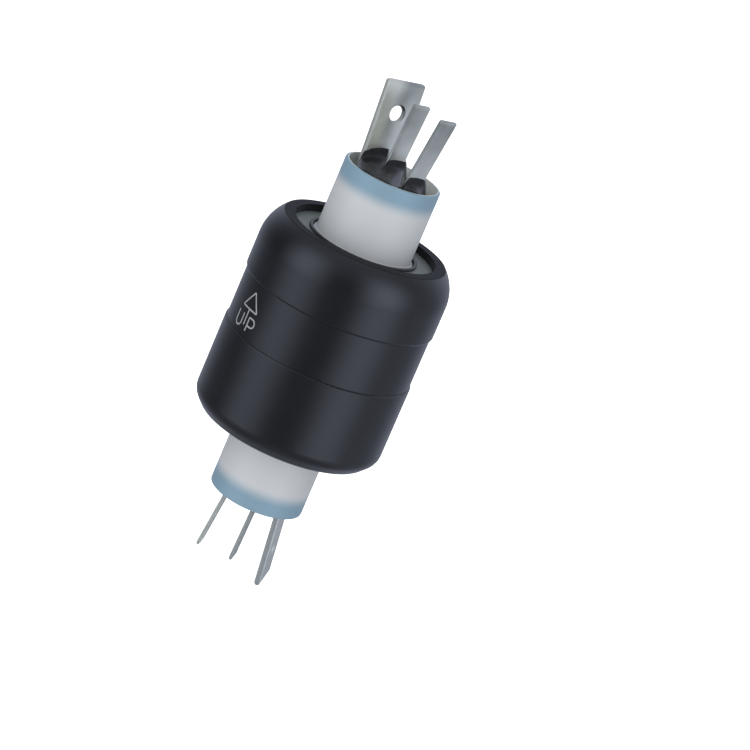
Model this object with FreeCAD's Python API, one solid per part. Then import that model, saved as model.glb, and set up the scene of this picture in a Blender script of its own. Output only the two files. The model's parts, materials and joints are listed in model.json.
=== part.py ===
import FreeCAD, Part
import math
import os

# Three-circuit rotary connector: a black round housing with a white stem at each end.
# The upper stem turns in a ball bearing, and each of its contact discs dips into a pool of
# liquid metal, which carries the current to the fixed cup around it.
# Millimetres. The axis is +Z, and z = 0 is the underside of the black housing.

# Ball bearing between the housing and the upper stem; the housing is sized outwards from it
journal_r = 6.0
bearing_h = 5.0
inner_race_wall = 1.4
ball_space = 1.7
outer_race_wall = 1.4
groove_depth = 0.34
groove_gap = 0.05
ball_count = 12
pocket_gap = 0.06
cage_side_gap = 0.3
cage_below = 0.7
cage_above = 1.75
shield_h = 0.3
shield_inset = 0.1
shield_seat_step = 0.4
shield_gap = 0.2

# Black housing, from the bearing outwards
bearing_ledge = 0.2
neck_wall = 1.15
neck_h = 1.4
neck_gap = 0.05
shell_wall = 1.4
shell_floor = 1.6
lower_shell_h = 12.3
edge_chamfer_w = 1.5
edge_chamfer_h = 1.6
chamfer_top_round = 2.0
chamfer_foot_round = 1.0
shell_edge_break = 0.2
band_step = 0.18
cap_step = 0.05
cap_shoulder_r = 5.9
cap_foot_round = 0.3
cap_web_h = 0.7
cap_web_cover = 1.3
cap_ring_w = 1.4

# Round plate set into the cap, with a raised lip round the stem
plate_rest = 0.5
plate_h = 0.75
plate_gap = 0.05
recess_depth = 0.95
lip_w = 0.4
lip_h = 0.35
lip_round = 0.15

# White stems
collar_step = 0.85
collar_h = 1.45
collar_gap = 0.15
stem_step = 0.35
upper_stem_h = 10.25
upper_stem_wall = 1.3
lower_stem_r = 6.36
lower_stem_h = 9.6
lower_stem_wall = 1.11
lower_seat_step = 0.7
flange_step = 1.44
flange_h = 1.6
stem_gap = 0.03
mouth_wall = 0.4
mouth_depth = 3.0
rim_round = 0.25

# Retaining ring under the bearing, and the lip seal under it
clip_h = 0.7
clip_stand = 0.9
clip_groove_depth = 0.5
clip_mouth = 3.4
seal_web_h = 1.7
seal_lip_gap = 0.05
seal_lip_land = 0.4
seal_slope_w = 1.1
seal_wall = 0.75
seal_to_clip = 0.3
stack_gap = 0.05

# Contact cells, stacked one on another
cell_count = 3
web_h = 0.8
insulator_wall = 1.3
cell_bore_gap = 0.5
cup_floor_h = 0.6
cup_wall = 0.6
cup_outer_h = 3.6
cup_inner_h = 2.0
cup_gap = 0.05
cup_headroom = 0.6
pool_depth = 1.0
skirt_space = 1.4
skirt_wall = 0.6
skirt_to_floor = 0.35
skirt_gap = 0.05
disc_h = 0.6
disc_over_wall = 0.7

# Rotor core, with its pivot pin in a bush
core_r = 2.9
spacer_wall = 1.0
top_spacer_h = 0.5
core_foot_gap = 0.8
pin_r = 1.1
pin_gap = 0.05
pin_in_bush = 1.0
bush_wall = 0.75
bush_floor_h = 0.4
bush_floor_gap = 0.3

# Leads inside both halves
lead_r = 0.45
lead_bend_r = 0.7
lead_cover = 0.75
lead_under_rim = 1.4
lead_rise = 1.5
lead_on_tab = 2.2
channel_gap = 0.05
stub_r = 0.25
middle_lead_slide = 2.45

# Flat terminals: one wide and two narrow at each end, each leaning a little
wide_w = 6.3
wide_t = 0.8
wide_hole_r = 1.05
wide_hole_bevel = 0.25
wide_hole_from_tip = 4.35
wide_tip_h = 0.5
wide_tip_corner = 0.45
narrow_w = 2.8
narrow_t = 0.5
narrow_foot_w = 5.2
narrow_tip_h = 0.4
narrow_tip_corner = 0.35
tip_edge_share = 0.45
blade_edge_break = 0.12
foot_depth = 6.2
foot_to_floor = 2.4
upper_tab_turn_deg = 45.0
upper_tab_slide = 0.15
upper_wide_wall_gap = 0.26
upper_edge_wall_gap = 0.85
upper_wide_to_middle = 2.35
upper_wide_length = 14.0
upper_middle_length = 12.6
upper_edge_length = 13.15
upper_wide_lean_deg = 5.3
upper_middle_lean_deg = -3.8
upper_edge_lean_deg = -9.3
lower_tab_turn_deg = 87.0
lower_wide_wall_gap = 0.32
lower_edge_wall_gap = 1.1
lower_wide_to_middle = 2.92
lower_wide_length = 13.3
lower_narrow_length = 12.2
lower_wide_lean_deg = -6.3
lower_middle_lean_deg = 1.5
lower_edge_lean_deg = 6.1

# Potting compound that closes both stems and climbs the upper terminals
upper_pot_below_rim = 1.5
lower_pot_below_rim = 0.8
wide_mound_rise = 3.4
middle_mound_rise = 3.3
edge_mound_rise = 2.9
mound_side = 1.3
mound_reach = 2.6
mound_end_inset = 0.4

# Radii of the bearing, and outwards from it to the black housing
inner_land_r = journal_r + inner_race_wall
outer_land_r = inner_land_r + ball_space
bearing_outer_r = outer_land_r + outer_race_wall
pitch_r = (inner_land_r + outer_land_r) / 2
ball_r = ball_space / 2 + groove_depth
shield_seat_r = outer_land_r + shield_seat_step
barrel_bore_r = bearing_outer_r - bearing_ledge
neck_r = barrel_bore_r + neck_wall
neck_bore_r = neck_r + neck_gap
lower_shell_r = neck_bore_r + shell_wall
band_r = lower_shell_r - band_step
cap_r = lower_shell_r + cap_step
cap_web_hole_r = bearing_outer_r - cap_web_cover
recess_r = cap_web_hole_r + plate_rest

# Radii of the turning stem, upwards from the journal, and of the fixed stem
clip_r = journal_r + clip_stand
collar_r = journal_r + collar_step
plate_hole_r = collar_r + collar_gap
upper_stem_r = collar_r - stem_step
upper_bore_r = upper_stem_r - upper_stem_wall
upper_mouth_r = upper_stem_r - mouth_wall
lower_bore_r = lower_stem_r - lower_stem_wall
lower_mouth_r = lower_stem_r - mouth_wall
lower_seat_r = lower_stem_r + lower_seat_step
flange_r = lower_seat_r + flange_step

# Radii of the cells: the cups hang on the housing, and their webs clear the rotor
insulator_r = barrel_bore_r - stack_gap
cup_r = insulator_r - insulator_wall - cup_gap
skirt_r = cup_r - cup_wall - skirt_space
spacer_r = core_r + spacer_wall
cell_hole_r = spacer_r + cell_bore_gap
bush_r = pin_r + pin_gap + bush_wall
core_lead_r = core_r - lead_cover - lead_r
lead_down_r = (insulator_r + cup_r + cup_gap) / 2

# Heights, upwards from the underside of the black housing
cell_pitch = web_h + cup_outer_h + cup_headroom
cell_base_z = shell_floor + flange_h
lead_run_z = shell_floor + flange_h / 2
stack_top_z = cell_base_z + cell_count * cell_pitch
clip_z = stack_top_z + seal_web_h + seal_to_clip
bearing_z = clip_z + clip_h
bearing_mid_z = bearing_z + bearing_h / 2
bearing_top_z = bearing_z + bearing_h
cap_foot_z = bearing_z - neck_h
plate_z = bearing_top_z + cap_web_h
plate_top_z = plate_z + plate_h
cap_top_z = plate_top_z + recess_depth
collar_top_z = bearing_top_z + collar_h
upper_rim_z = collar_top_z + upper_stem_h
upper_mouth_z = upper_rim_z - mouth_depth
upper_bore_z = upper_rim_z - foot_depth - foot_to_floor
lower_rim_z = -lower_stem_h
lower_mouth_z = lower_rim_z + mouth_depth
disc_above_web = cup_inner_h + disc_over_wall
top_disc_z = stack_top_z - cell_pitch + web_h + disc_above_web
journal_foot_z = top_disc_z + disc_h + top_spacer_h
core_foot_z = cell_base_z + core_foot_gap


def across_in_bore(bore_r, foot_w, thick, gap):
    """How far from the axis a flat foot lies when its outer corners stay a gap inside a round bore."""
    return math.sqrt(bore_r ** 2 - (foot_w / 2) ** 2) - thick / 2 - gap


# Where the terminals stand, across the stems
upper_slide_w = 2 * upper_tab_slide
upper_wide_at = across_in_bore(upper_bore_r, wide_w + upper_slide_w, wide_t, upper_wide_wall_gap)
upper_middle_at = upper_wide_at - upper_wide_to_middle
upper_edge_at = -across_in_bore(upper_bore_r, narrow_foot_w + upper_slide_w, narrow_t, upper_edge_wall_gap)
lower_wide_at = -across_in_bore(lower_bore_r, wide_w, wide_t, lower_wide_wall_gap)
lower_middle_at = lower_wide_at + lower_wide_to_middle
lower_edge_at = across_in_bore(lower_bore_r, narrow_foot_w, narrow_t, lower_edge_wall_gap)


def vec(x, y, z):
    return FreeCAD.Vector(x, y, z)


def polar(radius, degrees, z):
    turn = math.radians(degrees)
    return vec(radius * math.cos(turn), radius * math.sin(turn), z)


def profile_face(points):
    """Flat face in the XZ plane from (x, z) points; a middle point of three makes an arc."""
    edges = []
    count = len(points)
    for index in range(count):
        start = points[index]
        end = points[(index + 1) % count]
        if len(start) == 4:
            continue
        first = vec(start[0], 0, start[1])
        if len(end) == 4:
            after = points[(index + 2) % count]
            last = vec(after[0], 0, after[1])
            edges.append(Part.Arc(first, vec(end[0], 0, end[1]), last).toShape())
        else:
            edges.append(Part.LineSegment(first, vec(end[0], 0, end[1])).toShape())
    return Part.Face(Part.Wire(edges))


def turned(points):
    """Solid of revolution about Z from (radius, height) points."""
    return profile_face(points).revolve(vec(0, 0, 0), vec(0, 0, 1), 360)


def through(r, z):
    """Marks the middle point of an arc in an outline."""
    return (r, z, 0, 0)


def corner(r, z, side_r, side_z, radius):
    """Rounded corner at (r, z): side_r and side_z are -1 or 1, towards the solid."""
    centre_r = r + side_r * radius
    centre_z = z + side_z * radius
    reach = radius * math.sqrt(0.5)
    return through(centre_r - side_r * reach, centre_z - side_z * reach)


def tangent_arc(before, turn_point, after, radius):
    """Start, middle and end of the arc that rounds the corner at turn_point."""
    back = (before - turn_point).normalize()
    ahead = (after - turn_point).normalize()
    half = back.getAngle(ahead) / 2
    setback = radius / math.tan(half)
    middle = (back + ahead).normalize()
    return (turn_point + back * setback,
            turn_point + middle * (radius / math.sin(half) - radius),
            turn_point + ahead * setback)


def eased(before, edge, after, radius):
    """Points that round a slanted corner of an outline, from (radius, height) points."""
    start, mid, end = tangent_arc(vec(before[0], 0, before[1]), vec(edge[0], 0, edge[1]),
                                  vec(after[0], 0, after[1]), radius)
    return [(start.x, start.z), through(mid.x, mid.z), (end.x, end.z)]


def ring(outer, inner, low, high):
    return turned([(inner, low), (outer, low), (outer, high), (inner, high)])


def bent_rod(points, radius, bend):
    """Round rod along straight runs, joined by tangent arcs of the bend radius."""
    edges = []
    start = points[0]
    for index in range(1, len(points) - 1):
        arc_start, arc_mid, arc_end = tangent_arc(points[index - 1], points[index], points[index + 1], bend)
        edges.append(Part.LineSegment(start, arc_start).toShape())
        edges.append(Part.Arc(arc_start, arc_mid, arc_end).toShape())
        start = arc_end
    edges.append(Part.LineSegment(start, points[-1]).toShape())
    path = Part.Wire(edges)
    heading = points[1] - points[0]
    section = Part.Wire(Part.makeCircle(radius, points[0], heading))
    return path.makePipeShell([section], True, False)


def lower_housing():
    hole = lower_seat_r + stem_gap
    top = lower_shell_h
    chamfer_foot = (lower_shell_r - edge_chamfer_w, 0)
    chamfer_top = (lower_shell_r, edge_chamfer_h)
    wall_end = (lower_shell_r, top - shell_edge_break)
    return turned([
        (hole, 0),
        *eased((hole, 0), chamfer_foot, chamfer_top, chamfer_foot_round),
        *eased(chamfer_foot, chamfer_top, wall_end, chamfer_top_round),
        wall_end,
        corner(lower_shell_r, top, -1, -1, shell_edge_break),
        (lower_shell_r - shell_edge_break, top),
        (neck_bore_r, top),
        (neck_bore_r, shell_floor),
        (hole, shell_floor),
    ])


def barrel():
    return turned([
        (barrel_bore_r, shell_floor),
        (neck_r, shell_floor),
        (neck_r, lower_shell_h),
        (band_r, lower_shell_h),
        (band_r, cap_foot_z),
        (neck_r, cap_foot_z),
        (neck_r, bearing_z),
        (barrel_bore_r, bearing_z),
    ])


def upper_cap():
    ring_outer_r = recess_r + cap_ring_w
    arc_centre_r = cap_r - cap_shoulder_r
    arc_rise = math.sqrt(cap_shoulder_r ** 2 - (ring_outer_r - arc_centre_r) ** 2)
    arc_z = cap_top_z - arc_rise
    half_turn = math.atan2(arc_rise, ring_outer_r - arc_centre_r) / 2
    return turned([
        (neck_bore_r, cap_foot_z),
        (cap_r - cap_foot_round, cap_foot_z),
        corner(cap_r, cap_foot_z, -1, 1, cap_foot_round),
        (cap_r, cap_foot_z + cap_foot_round),
        (cap_r, arc_z),
        through(arc_centre_r + cap_shoulder_r * math.cos(half_turn),
                arc_z + cap_shoulder_r * math.sin(half_turn)),
        (ring_outer_r, cap_top_z),
        (recess_r, cap_top_z),
        (recess_r, plate_z),
        (cap_web_hole_r, plate_z),
        (cap_web_hole_r, bearing_top_z),
        (bearing_outer_r, bearing_top_z),
        (bearing_outer_r, bearing_z),
        (neck_bore_r, bearing_z),
    ])


def cover_plate():
    lip_r = plate_hole_r + lip_w
    lip_top = plate_top_z + lip_h
    outer = recess_r - plate_gap
    return turned([
        (plate_hole_r, plate_z),
        (outer, plate_z),
        (outer, plate_top_z),
        (lip_r, plate_top_z),
        (lip_r, lip_top - lip_round),
        corner(lip_r, lip_top, -1, -1, lip_round),
        (lip_r - lip_round, lip_top),
        (plate_hole_r, lip_top),
    ])


def lower_stem():
    round_r = lower_stem_r - rim_round
    return turned([
        (bush_r, shell_floor),
        (lower_bore_r, shell_floor),
        (lower_bore_r, lower_mouth_z),
        (lower_mouth_r, lower_mouth_z),
        (lower_mouth_r, lower_rim_z),
        (round_r, lower_rim_z),
        corner(lower_stem_r, lower_rim_z, -1, 1, rim_round),
        (lower_stem_r, lower_rim_z + rim_round),
        (lower_stem_r, 0),
        (lower_seat_r, 0),
        (lower_seat_r, shell_floor),
        (flange_r, shell_floor),
        (flange_r, cell_base_z),
        (bush_r, cell_base_z),
    ])


def upper_stem():
    groove_r = journal_r - clip_groove_depth
    round_r = upper_stem_r - rim_round
    return turned([
        (core_r, journal_foot_z),
        (journal_r, journal_foot_z),
        (journal_r, clip_z),
        (groove_r, clip_z),
        (groove_r, bearing_z),
        (journal_r, bearing_z),
        (journal_r, bearing_top_z),
        (collar_r, bearing_top_z),
        (collar_r, collar_top_z),
        corner(upper_stem_r, collar_top_z, 1, 1, stem_step),
        (upper_stem_r, collar_top_z + stem_step),
        (upper_stem_r, upper_rim_z - rim_round),
        corner(upper_stem_r, upper_rim_z, -1, -1, rim_round),
        (round_r, upper_rim_z),
        (upper_mouth_r, upper_rim_z),
        (upper_mouth_r, upper_mouth_z),
        (upper_bore_r, upper_mouth_z),
        (upper_bore_r, upper_bore_z),
        (core_r, upper_bore_z),
    ])


def race_groove():
    return Part.makeTorus(pitch_r, ball_r + groove_gap, vec(0, 0, bearing_mid_z), vec(0, 0, 1))


def bearing_inner_race():
    return ring(inner_land_r, journal_r, bearing_z, bearing_top_z).cut(race_groove())


def bearing_outer_race():
    seat = shield_inset + shield_h
    body = turned([
        (shield_seat_r, bearing_z),
        (bearing_outer_r, bearing_z),
        (bearing_outer_r, bearing_top_z),
        (shield_seat_r, bearing_top_z),
        (shield_seat_r, bearing_top_z - seat),
        (outer_land_r, bearing_top_z - seat),
        (outer_land_r, bearing_z + seat),
        (shield_seat_r, bearing_z + seat),
    ])
    return body.cut(race_groove())


def bearing_shield(low):
    return ring(shield_seat_r, inner_land_r + shield_gap, low, low + shield_h)


def ball_places():
    step = 360 / ball_count
    return [polar(pitch_r, step * index, bearing_mid_z) for index in range(ball_count)]


def bearing_balls():
    return Part.makeCompound([Part.makeSphere(ball_r, place) for place in ball_places()])


def bearing_cage():
    """Crown cage: a ring whose open pockets close past the middle of each ball."""
    body = ring(outer_land_r - cage_side_gap, inner_land_r + cage_side_gap,
                bearing_mid_z - cage_below, bearing_mid_z + cage_above)
    pockets = [Part.makeSphere(ball_r + pocket_gap, place) for place in ball_places()]
    return body.cut(Part.makeCompound(pockets))


def retaining_ring():
    inner = journal_r - clip_groove_depth
    mouth = Part.makeBox(2 * clip_r, clip_mouth, 2 * clip_h, vec(0, -clip_mouth / 2, clip_z - clip_h / 2))
    return ring(clip_r, inner, clip_z, bearing_z).cut(mouth)


def shaft_seal():
    lip_r = journal_r + seal_lip_gap
    web_top = stack_top_z + seal_web_h
    lip_mid = (stack_top_z + web_top) / 2
    wall_r = insulator_r - seal_wall
    return turned([
        (insulator_r, stack_top_z),
        (insulator_r, bearing_z),
        (wall_r, bearing_z),
        (wall_r, web_top),
        (lip_r + seal_slope_w, web_top),
        (lip_r, lip_mid + seal_lip_land / 2),
        (lip_r, lip_mid - seal_lip_land / 2),
        (lip_r + seal_slope_w, stack_top_z),
    ])


def cell_z(cell):
    return cell_base_z + cell * cell_pitch


def cell_insulator(cell):
    low = cell_z(cell)
    sleeve_r = cup_r + cup_gap
    return turned([
        (cell_hole_r, low),
        (insulator_r, low),
        (insulator_r, low + cell_pitch),
        (sleeve_r, low + cell_pitch),
        (sleeve_r, low + web_h),
        (cell_hole_r, low + web_h),
    ])


def contact_cup(cell):
    low = cell_z(cell) + web_h
    floor = low + cup_floor_h
    inner_wall_r = cell_hole_r + cup_wall
    outer_wall_r = cup_r - cup_wall
    return turned([
        (cell_hole_r, low),
        (cup_r, low),
        (cup_r, low + cup_outer_h),
        (outer_wall_r, low + cup_outer_h),
        (outer_wall_r, floor),
        (inner_wall_r, floor),
        (inner_wall_r, low + cup_inner_h),
        (cell_hole_r, low + cup_inner_h),
    ])


def disc_z(cell):
    return cell_z(cell) + web_h + disc_above_web


def skirt_z(cell):
    return cell_z(cell) + web_h + cup_floor_h + skirt_to_floor


def contact_disc(cell):
    low = disc_z(cell)
    return turned([
        (core_r, low),
        (skirt_r - skirt_wall, low),
        (skirt_r - skirt_wall, skirt_z(cell)),
        (skirt_r, skirt_z(cell)),
        (skirt_r, low + disc_h),
        (core_r, low + disc_h),
    ])


def liquid_metal(cell):
    """Pool in the cup, parted by the groove that the disc's skirt turns in."""
    floor = cell_z(cell) + web_h + cup_floor_h
    surface = floor + pool_depth
    groove_floor = skirt_z(cell) - skirt_gap
    groove_in = skirt_r - skirt_wall - skirt_gap
    groove_out = skirt_r + skirt_gap
    return turned([
        (cell_hole_r + cup_wall, floor),
        (cup_r - cup_wall, floor),
        (cup_r - cup_wall, surface),
        (groove_out, surface),
        (groove_out, groove_floor),
        (groove_in, groove_floor),
        (groove_in, surface),
        (cell_hole_r + cup_wall, surface),
    ])


def rotor_core():
    """Insulating shaft: pivot pin, foot under the lowest disc, and the stack above it."""
    pin_foot_z = cell_base_z - pin_in_bush
    return turned([
        (0, pin_foot_z),
        (pin_r, pin_foot_z),
        (pin_r, core_foot_z),
        (spacer_r, core_foot_z),
        (spacer_r, disc_z(0)),
        (core_r, disc_z(0)),
        (core_r, upper_bore_z),
        (0, upper_bore_z),
    ])


def rotor_spacer(cell):
    low = disc_z(cell) + disc_h
    high = journal_foot_z
    if cell < cell_count - 1:
        high = disc_z(cell + 1)
    return ring(spacer_r, core_r, low, high)


def pivot_bush():
    bore_r = pin_r + pin_gap
    bore_z = cell_base_z - pin_in_bush - bush_floor_gap
    return turned([
        (0, bore_z - bush_floor_h),
        (bush_r, bore_z - bush_floor_h),
        (bush_r, cell_base_z),
        (bore_r, cell_base_z),
        (bore_r, bore_z),
        (0, bore_z),
    ])


def blade(width, thick, length, tip_h, tip_corner):
    """Flat blade from z = 0 up to a rounded and bevelled tip, with its long edges broken."""
    half = width / 2
    side = thick / 2
    edge = side * tip_edge_share
    front = profile_face([
        (-half, -thick),
        (half, -thick),
        (half, length - tip_corner),
        corner(half, length, -1, -1, tip_corner),
        (half - tip_corner, length),
        (tip_corner - half, length),
        corner(-half, length, 1, -1, tip_corner),
        (-half, length - tip_corner),
    ])
    front.translate(vec(0, -thick, 0))
    section = profile_face([
        (-side, -thick),
        (side, -thick),
        (side, length - tip_h),
        (edge, length),
        (-edge, length),
        (-side, length - tip_h),
    ])
    section.rotate(vec(0, 0, 0), vec(0, 0, 1), 90)
    section.translate(vec(-width, 0, 0))
    broken = half - blade_edge_break
    flat = side - blade_edge_break
    plan = [(-half, -flat), (-broken, -side), (broken, -side), (half, -flat),
            (half, flat), (broken, side), (-broken, side), (-half, flat)]
    rim = [vec(x, y, -thick) for x, y in plan]
    bar = Part.Face(Part.makePolygon(rim + rim[:1])).extrude(vec(0, 0, length + 2 * thick))
    body = front.extrude(vec(0, 2 * thick, 0))
    return body.common(section.extrude(vec(2 * width, 0, 0))).common(bar)


def bevelled_hole(thick, place_z):
    """Tools that cut the round hole and the bevel round each of its ends."""
    drill = Part.makeCylinder(wide_hole_r, 2 * thick, vec(0, -thick, place_z), vec(0, 1, 0))
    sinks = [Part.makeCone(wide_hole_r + wide_hole_bevel, wide_hole_r, wide_hole_bevel,
                           vec(0, face_side * thick / 2, place_z), vec(0, -face_side, 0))
             for face_side in (-1, 1)]
    return [drill] + sinks


def on_foot(upright, thick, foot_w, lean):
    """The blade, leaning from its bend at z = 0, on its upright foot."""
    upright.rotate(vec(0, 0, 0), vec(1, 0, 0), -lean)
    foot_h = foot_depth - mouth_depth
    foot = Part.makeBox(foot_w, thick, foot_h, vec(-foot_w / 2, -thick / 2, -foot_h))
    return upright.fuse(foot).removeSplitter()


def wide_terminal(length, lean):
    upright = blade(wide_w, wide_t, length, wide_tip_h, wide_tip_corner)
    upright = upright.cut(bevelled_hole(wide_t, length - wide_hole_from_tip))
    return on_foot(upright, wide_t, wide_w, lean)


def narrow_terminal(length, lean):
    upright = blade(narrow_w, narrow_t, length, narrow_tip_h, narrow_tip_corner)
    return on_foot(upright, narrow_t, narrow_foot_w, lean)


def place_upper(shape, across):
    shape.translate(vec(upper_tab_slide, across, upper_mouth_z))
    shape.rotate(vec(0, 0, 0), vec(0, 0, 1), upper_tab_turn_deg)
    return shape


def place_lower(shape, across):
    shape.rotate(vec(0, 0, 0), vec(0, 1, 0), 180)
    shape.translate(vec(0, across, lower_mouth_z))
    shape.rotate(vec(0, 0, 0), vec(0, 0, 1), lower_tab_turn_deg)
    return shape


def upper_terminals():
    return {
        "upper_terminal_wide": place_upper(
            wide_terminal(upper_wide_length, upper_wide_lean_deg), upper_wide_at),
        "upper_terminal_narrow_1": place_upper(
            narrow_terminal(upper_middle_length, upper_middle_lean_deg), upper_middle_at),
        "upper_terminal_narrow_2": place_upper(
            narrow_terminal(upper_edge_length, upper_edge_lean_deg), upper_edge_at),
    }


def lower_terminals():
    return {
        "lower_terminal_wide": place_lower(
            wide_terminal(lower_wide_length, lower_wide_lean_deg), lower_wide_at),
        "lower_terminal_narrow_1": place_lower(
            narrow_terminal(lower_narrow_length, lower_middle_lean_deg), lower_middle_at),
        "lower_terminal_narrow_2": place_lower(
            narrow_terminal(lower_narrow_length, lower_edge_lean_deg), lower_edge_at),
    }


def beside_tabs(turn_deg, slide, across, z):
    """Point in a stem's own directions: along the width of its terminals and across it."""
    turn = math.radians(turn_deg)
    return vec(slide * math.cos(turn) - across * math.sin(turn),
               slide * math.sin(turn) + across * math.cos(turn), z)


def on_upper(slide, across, z):
    return beside_tabs(upper_tab_turn_deg, slide, across, z)


def rotor_lead(cell, slide, across_low, across_high):
    """Wire from a disc up the core, then beside its terminal's foot, with a stub to the disc."""
    low = disc_z(cell) + disc_h / 2 - lead_r
    top = upper_rim_z - foot_depth + lead_on_tab
    if across_low == across_high:
        foot = on_upper(slide, across_low, low)
        wire = Part.makeCylinder(lead_r, top - low, foot, vec(0, 0, 1))
    else:
        bend_z = upper_bore_z + lead_bend_r
        wire = bent_rod([
            on_upper(slide, across_low, low),
            on_upper(slide, across_low, bend_z),
            on_upper(slide, across_high, bend_z + lead_rise),
            on_upper(slide, across_high, top),
        ], lead_r, lead_bend_r)
    hub = on_upper(slide, across_low, disc_z(cell) + disc_h / 2)
    outward = vec(hub.x, hub.y, 0)
    stub = Part.makeCylinder(stub_r, core_r - outward.Length + stub_r, hub, outward)
    # the stub ends level with the round wall of the core
    stub = stub.common(Part.makeCylinder(core_r, 2 * lead_r, vec(0, 0, hub.z - lead_r)))
    return wire.fuse(stub).removeSplitter()


def rotor_leads():
    wide_side = upper_wide_at - wide_t / 2 - lead_r
    middle_side = upper_middle_at - narrow_t / 2 - lead_r
    edge_side = upper_edge_at + narrow_t / 2 + lead_r
    return [
        rotor_lead(0, 0, core_lead_r, wide_side),
        rotor_lead(1, -core_lead_r, middle_side, middle_side),
        rotor_lead(2, 0, -core_lead_r, edge_side),
    ]


def stator_lead_ends():
    """Where the wires from the cups run down inside the lower stem, as (x, y)."""
    ends = [
        (0, lower_wide_at - wide_t / 2 - lead_r),
        (middle_lead_slide, lower_middle_at + narrow_t / 2 + lead_r),
        (0, lower_edge_at + narrow_t / 2 + lead_r),
    ]
    points = [beside_tabs(lower_tab_turn_deg, slide, across, 0) for slide, across in ends]
    return [(point.x, point.y) for point in points]


def flange_channel(end_x, end_y):
    """Slot in the lower stem's flange, where a wire runs in from the side and turns down."""
    half = lead_r + channel_gap
    end_r = math.hypot(end_x, end_y)
    run = Part.makeBox(flange_r, 2 * half, flange_h, vec(end_r, -half, lead_run_z - half))
    drop = Part.makeBox(lead_bend_r + half, 2 * half, 2 * flange_h, vec(end_r - half, -half, 0))
    slot = run.fuse(drop)
    slot.rotate(vec(0, 0, 0), vec(0, 0, 1), math.degrees(math.atan2(end_y, end_x)))
    return slot


def stator_lead(cell, end_x, end_y):
    """Wire from a cup down through the insulators, inwards, and beside its terminal's foot."""
    turn = math.degrees(math.atan2(end_y, end_x))
    end_r = math.hypot(end_x, end_y)
    top = cell_z(cell) + web_h + cup_outer_h - lead_under_rim
    wire = bent_rod([
        polar(lead_down_r, turn, top + lead_r),
        polar(lead_down_r, turn, lead_run_z),
        polar(end_r, turn, lead_run_z),
        polar(end_r, turn, lower_rim_z + foot_depth - lead_on_tab),
    ], lead_r, lead_bend_r)
    stub = Part.makeCylinder(stub_r, lead_down_r - cup_r, polar(cup_r, turn, top), polar(1, turn, 0))
    # the stub's end follows the round wall of the cup
    stub = stub.cut(Part.makeCylinder(cup_r, 2 * lead_r, vec(0, 0, top - lead_r)))
    return wire.fuse(stub).removeSplitter()


def mound(width, across, rise):
    """Low swelling of potting compound that creeps up both faces of a terminal."""
    run = (width - 2 * mound_end_inset) / mound_side
    stadium = turned([
        (0, -run / 2 - 1),
        corner(1, -run / 2 - 1, -1, 1, 1),
        (1, -run / 2),
        (1, run / 2),
        corner(1, run / 2 + 1, -1, -1, 1),
        (0, run / 2 + 1),
    ])
    stadium.rotate(vec(0, 0, 0), vec(0, 1, 0), 90)
    stretch = FreeCAD.Matrix()
    stretch.scale(mound_side, mound_reach, rise)
    swelling = stadium.transformGeometry(stretch)
    swelling.translate(vec(upper_tab_slide, across, upper_rim_z - upper_pot_below_rim))
    swelling.rotate(vec(0, 0, 0), vec(0, 0, 1), upper_tab_turn_deg)
    return swelling


def upper_potting(held):
    level = upper_rim_z - upper_pot_below_rim
    fill = turned([
        (0, upper_bore_z),
        (upper_bore_r, upper_bore_z),
        (upper_bore_r, upper_mouth_z),
        (upper_mouth_r, upper_mouth_z),
        (upper_mouth_r, level),
        (0, level),
    ])
    mouth = Part.makeCylinder(upper_mouth_r, 2 * wide_mound_rise, vec(0, 0, upper_mouth_z))
    mounds = mound(wide_w, upper_wide_at, wide_mound_rise).fuse([
        mound(narrow_w, upper_middle_at, middle_mound_rise),
        mound(narrow_w, upper_edge_at, edge_mound_rise),
    ])
    return fill.fuse(mounds.common(mouth)).cut(held)


def lower_potting(held):
    fill_z = lower_rim_z + lower_pot_below_rim
    fill = turned([
        (0, fill_z),
        (lower_mouth_r, fill_z),
        (lower_mouth_r, lower_mouth_z),
        (lower_bore_r, lower_mouth_z),
        (lower_bore_r, shell_floor),
        (0, shell_floor),
    ])
    return fill.cut(held)


def build():
    parts = {
        "lower_housing": lower_housing(),
        "barrel": barrel(),
        "upper_cap": upper_cap(),
        "cover_plate": cover_plate(),
        "upper_stem": upper_stem(),
        "bearing_inner_race": bearing_inner_race(),
        "bearing_outer_race": bearing_outer_race(),
        "bearing_shield_upper": bearing_shield(bearing_top_z - shield_inset - shield_h),
        "bearing_shield_lower": bearing_shield(bearing_z + shield_inset),
        "bearing_balls": bearing_balls(),
        "bearing_cage": bearing_cage(),
        "retaining_ring": retaining_ring(),
        "shaft_seal": shaft_seal(),
        "pivot_bush": pivot_bush(),
    }
    above = rotor_leads()
    ends = stator_lead_ends()
    below = [stator_lead(cell, ends[cell][0], ends[cell][1]) for cell in range(cell_count)]
    upper_tabs = upper_terminals()
    lower_tabs = lower_terminals()
    for cell in range(cell_count):
        number = str(cell + 1)
        parts["cell_insulator_" + number] = cell_insulator(cell).cut(below)
        parts["contact_cup_" + number] = contact_cup(cell)
        parts["liquid_metal_" + number] = liquid_metal(cell)
        parts["contact_disc_" + number] = contact_disc(cell)
        parts["rotor_spacer_" + number] = rotor_spacer(cell)
        parts["rotor_lead_" + number] = above[cell]
        parts["stator_lead_" + number] = below[cell]
    parts["rotor_core"] = rotor_core().cut(above)
    parts["lower_stem"] = lower_stem().cut([flange_channel(x, y) for x, y in ends])
    parts["upper_potting"] = upper_potting(above + list(upper_tabs.values()))
    parts["lower_potting"] = lower_potting(below + list(lower_tabs.values()) + [parts["pivot_bush"]])
    parts.update(upper_tabs)
    parts.update(lower_tabs)
    return parts


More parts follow.
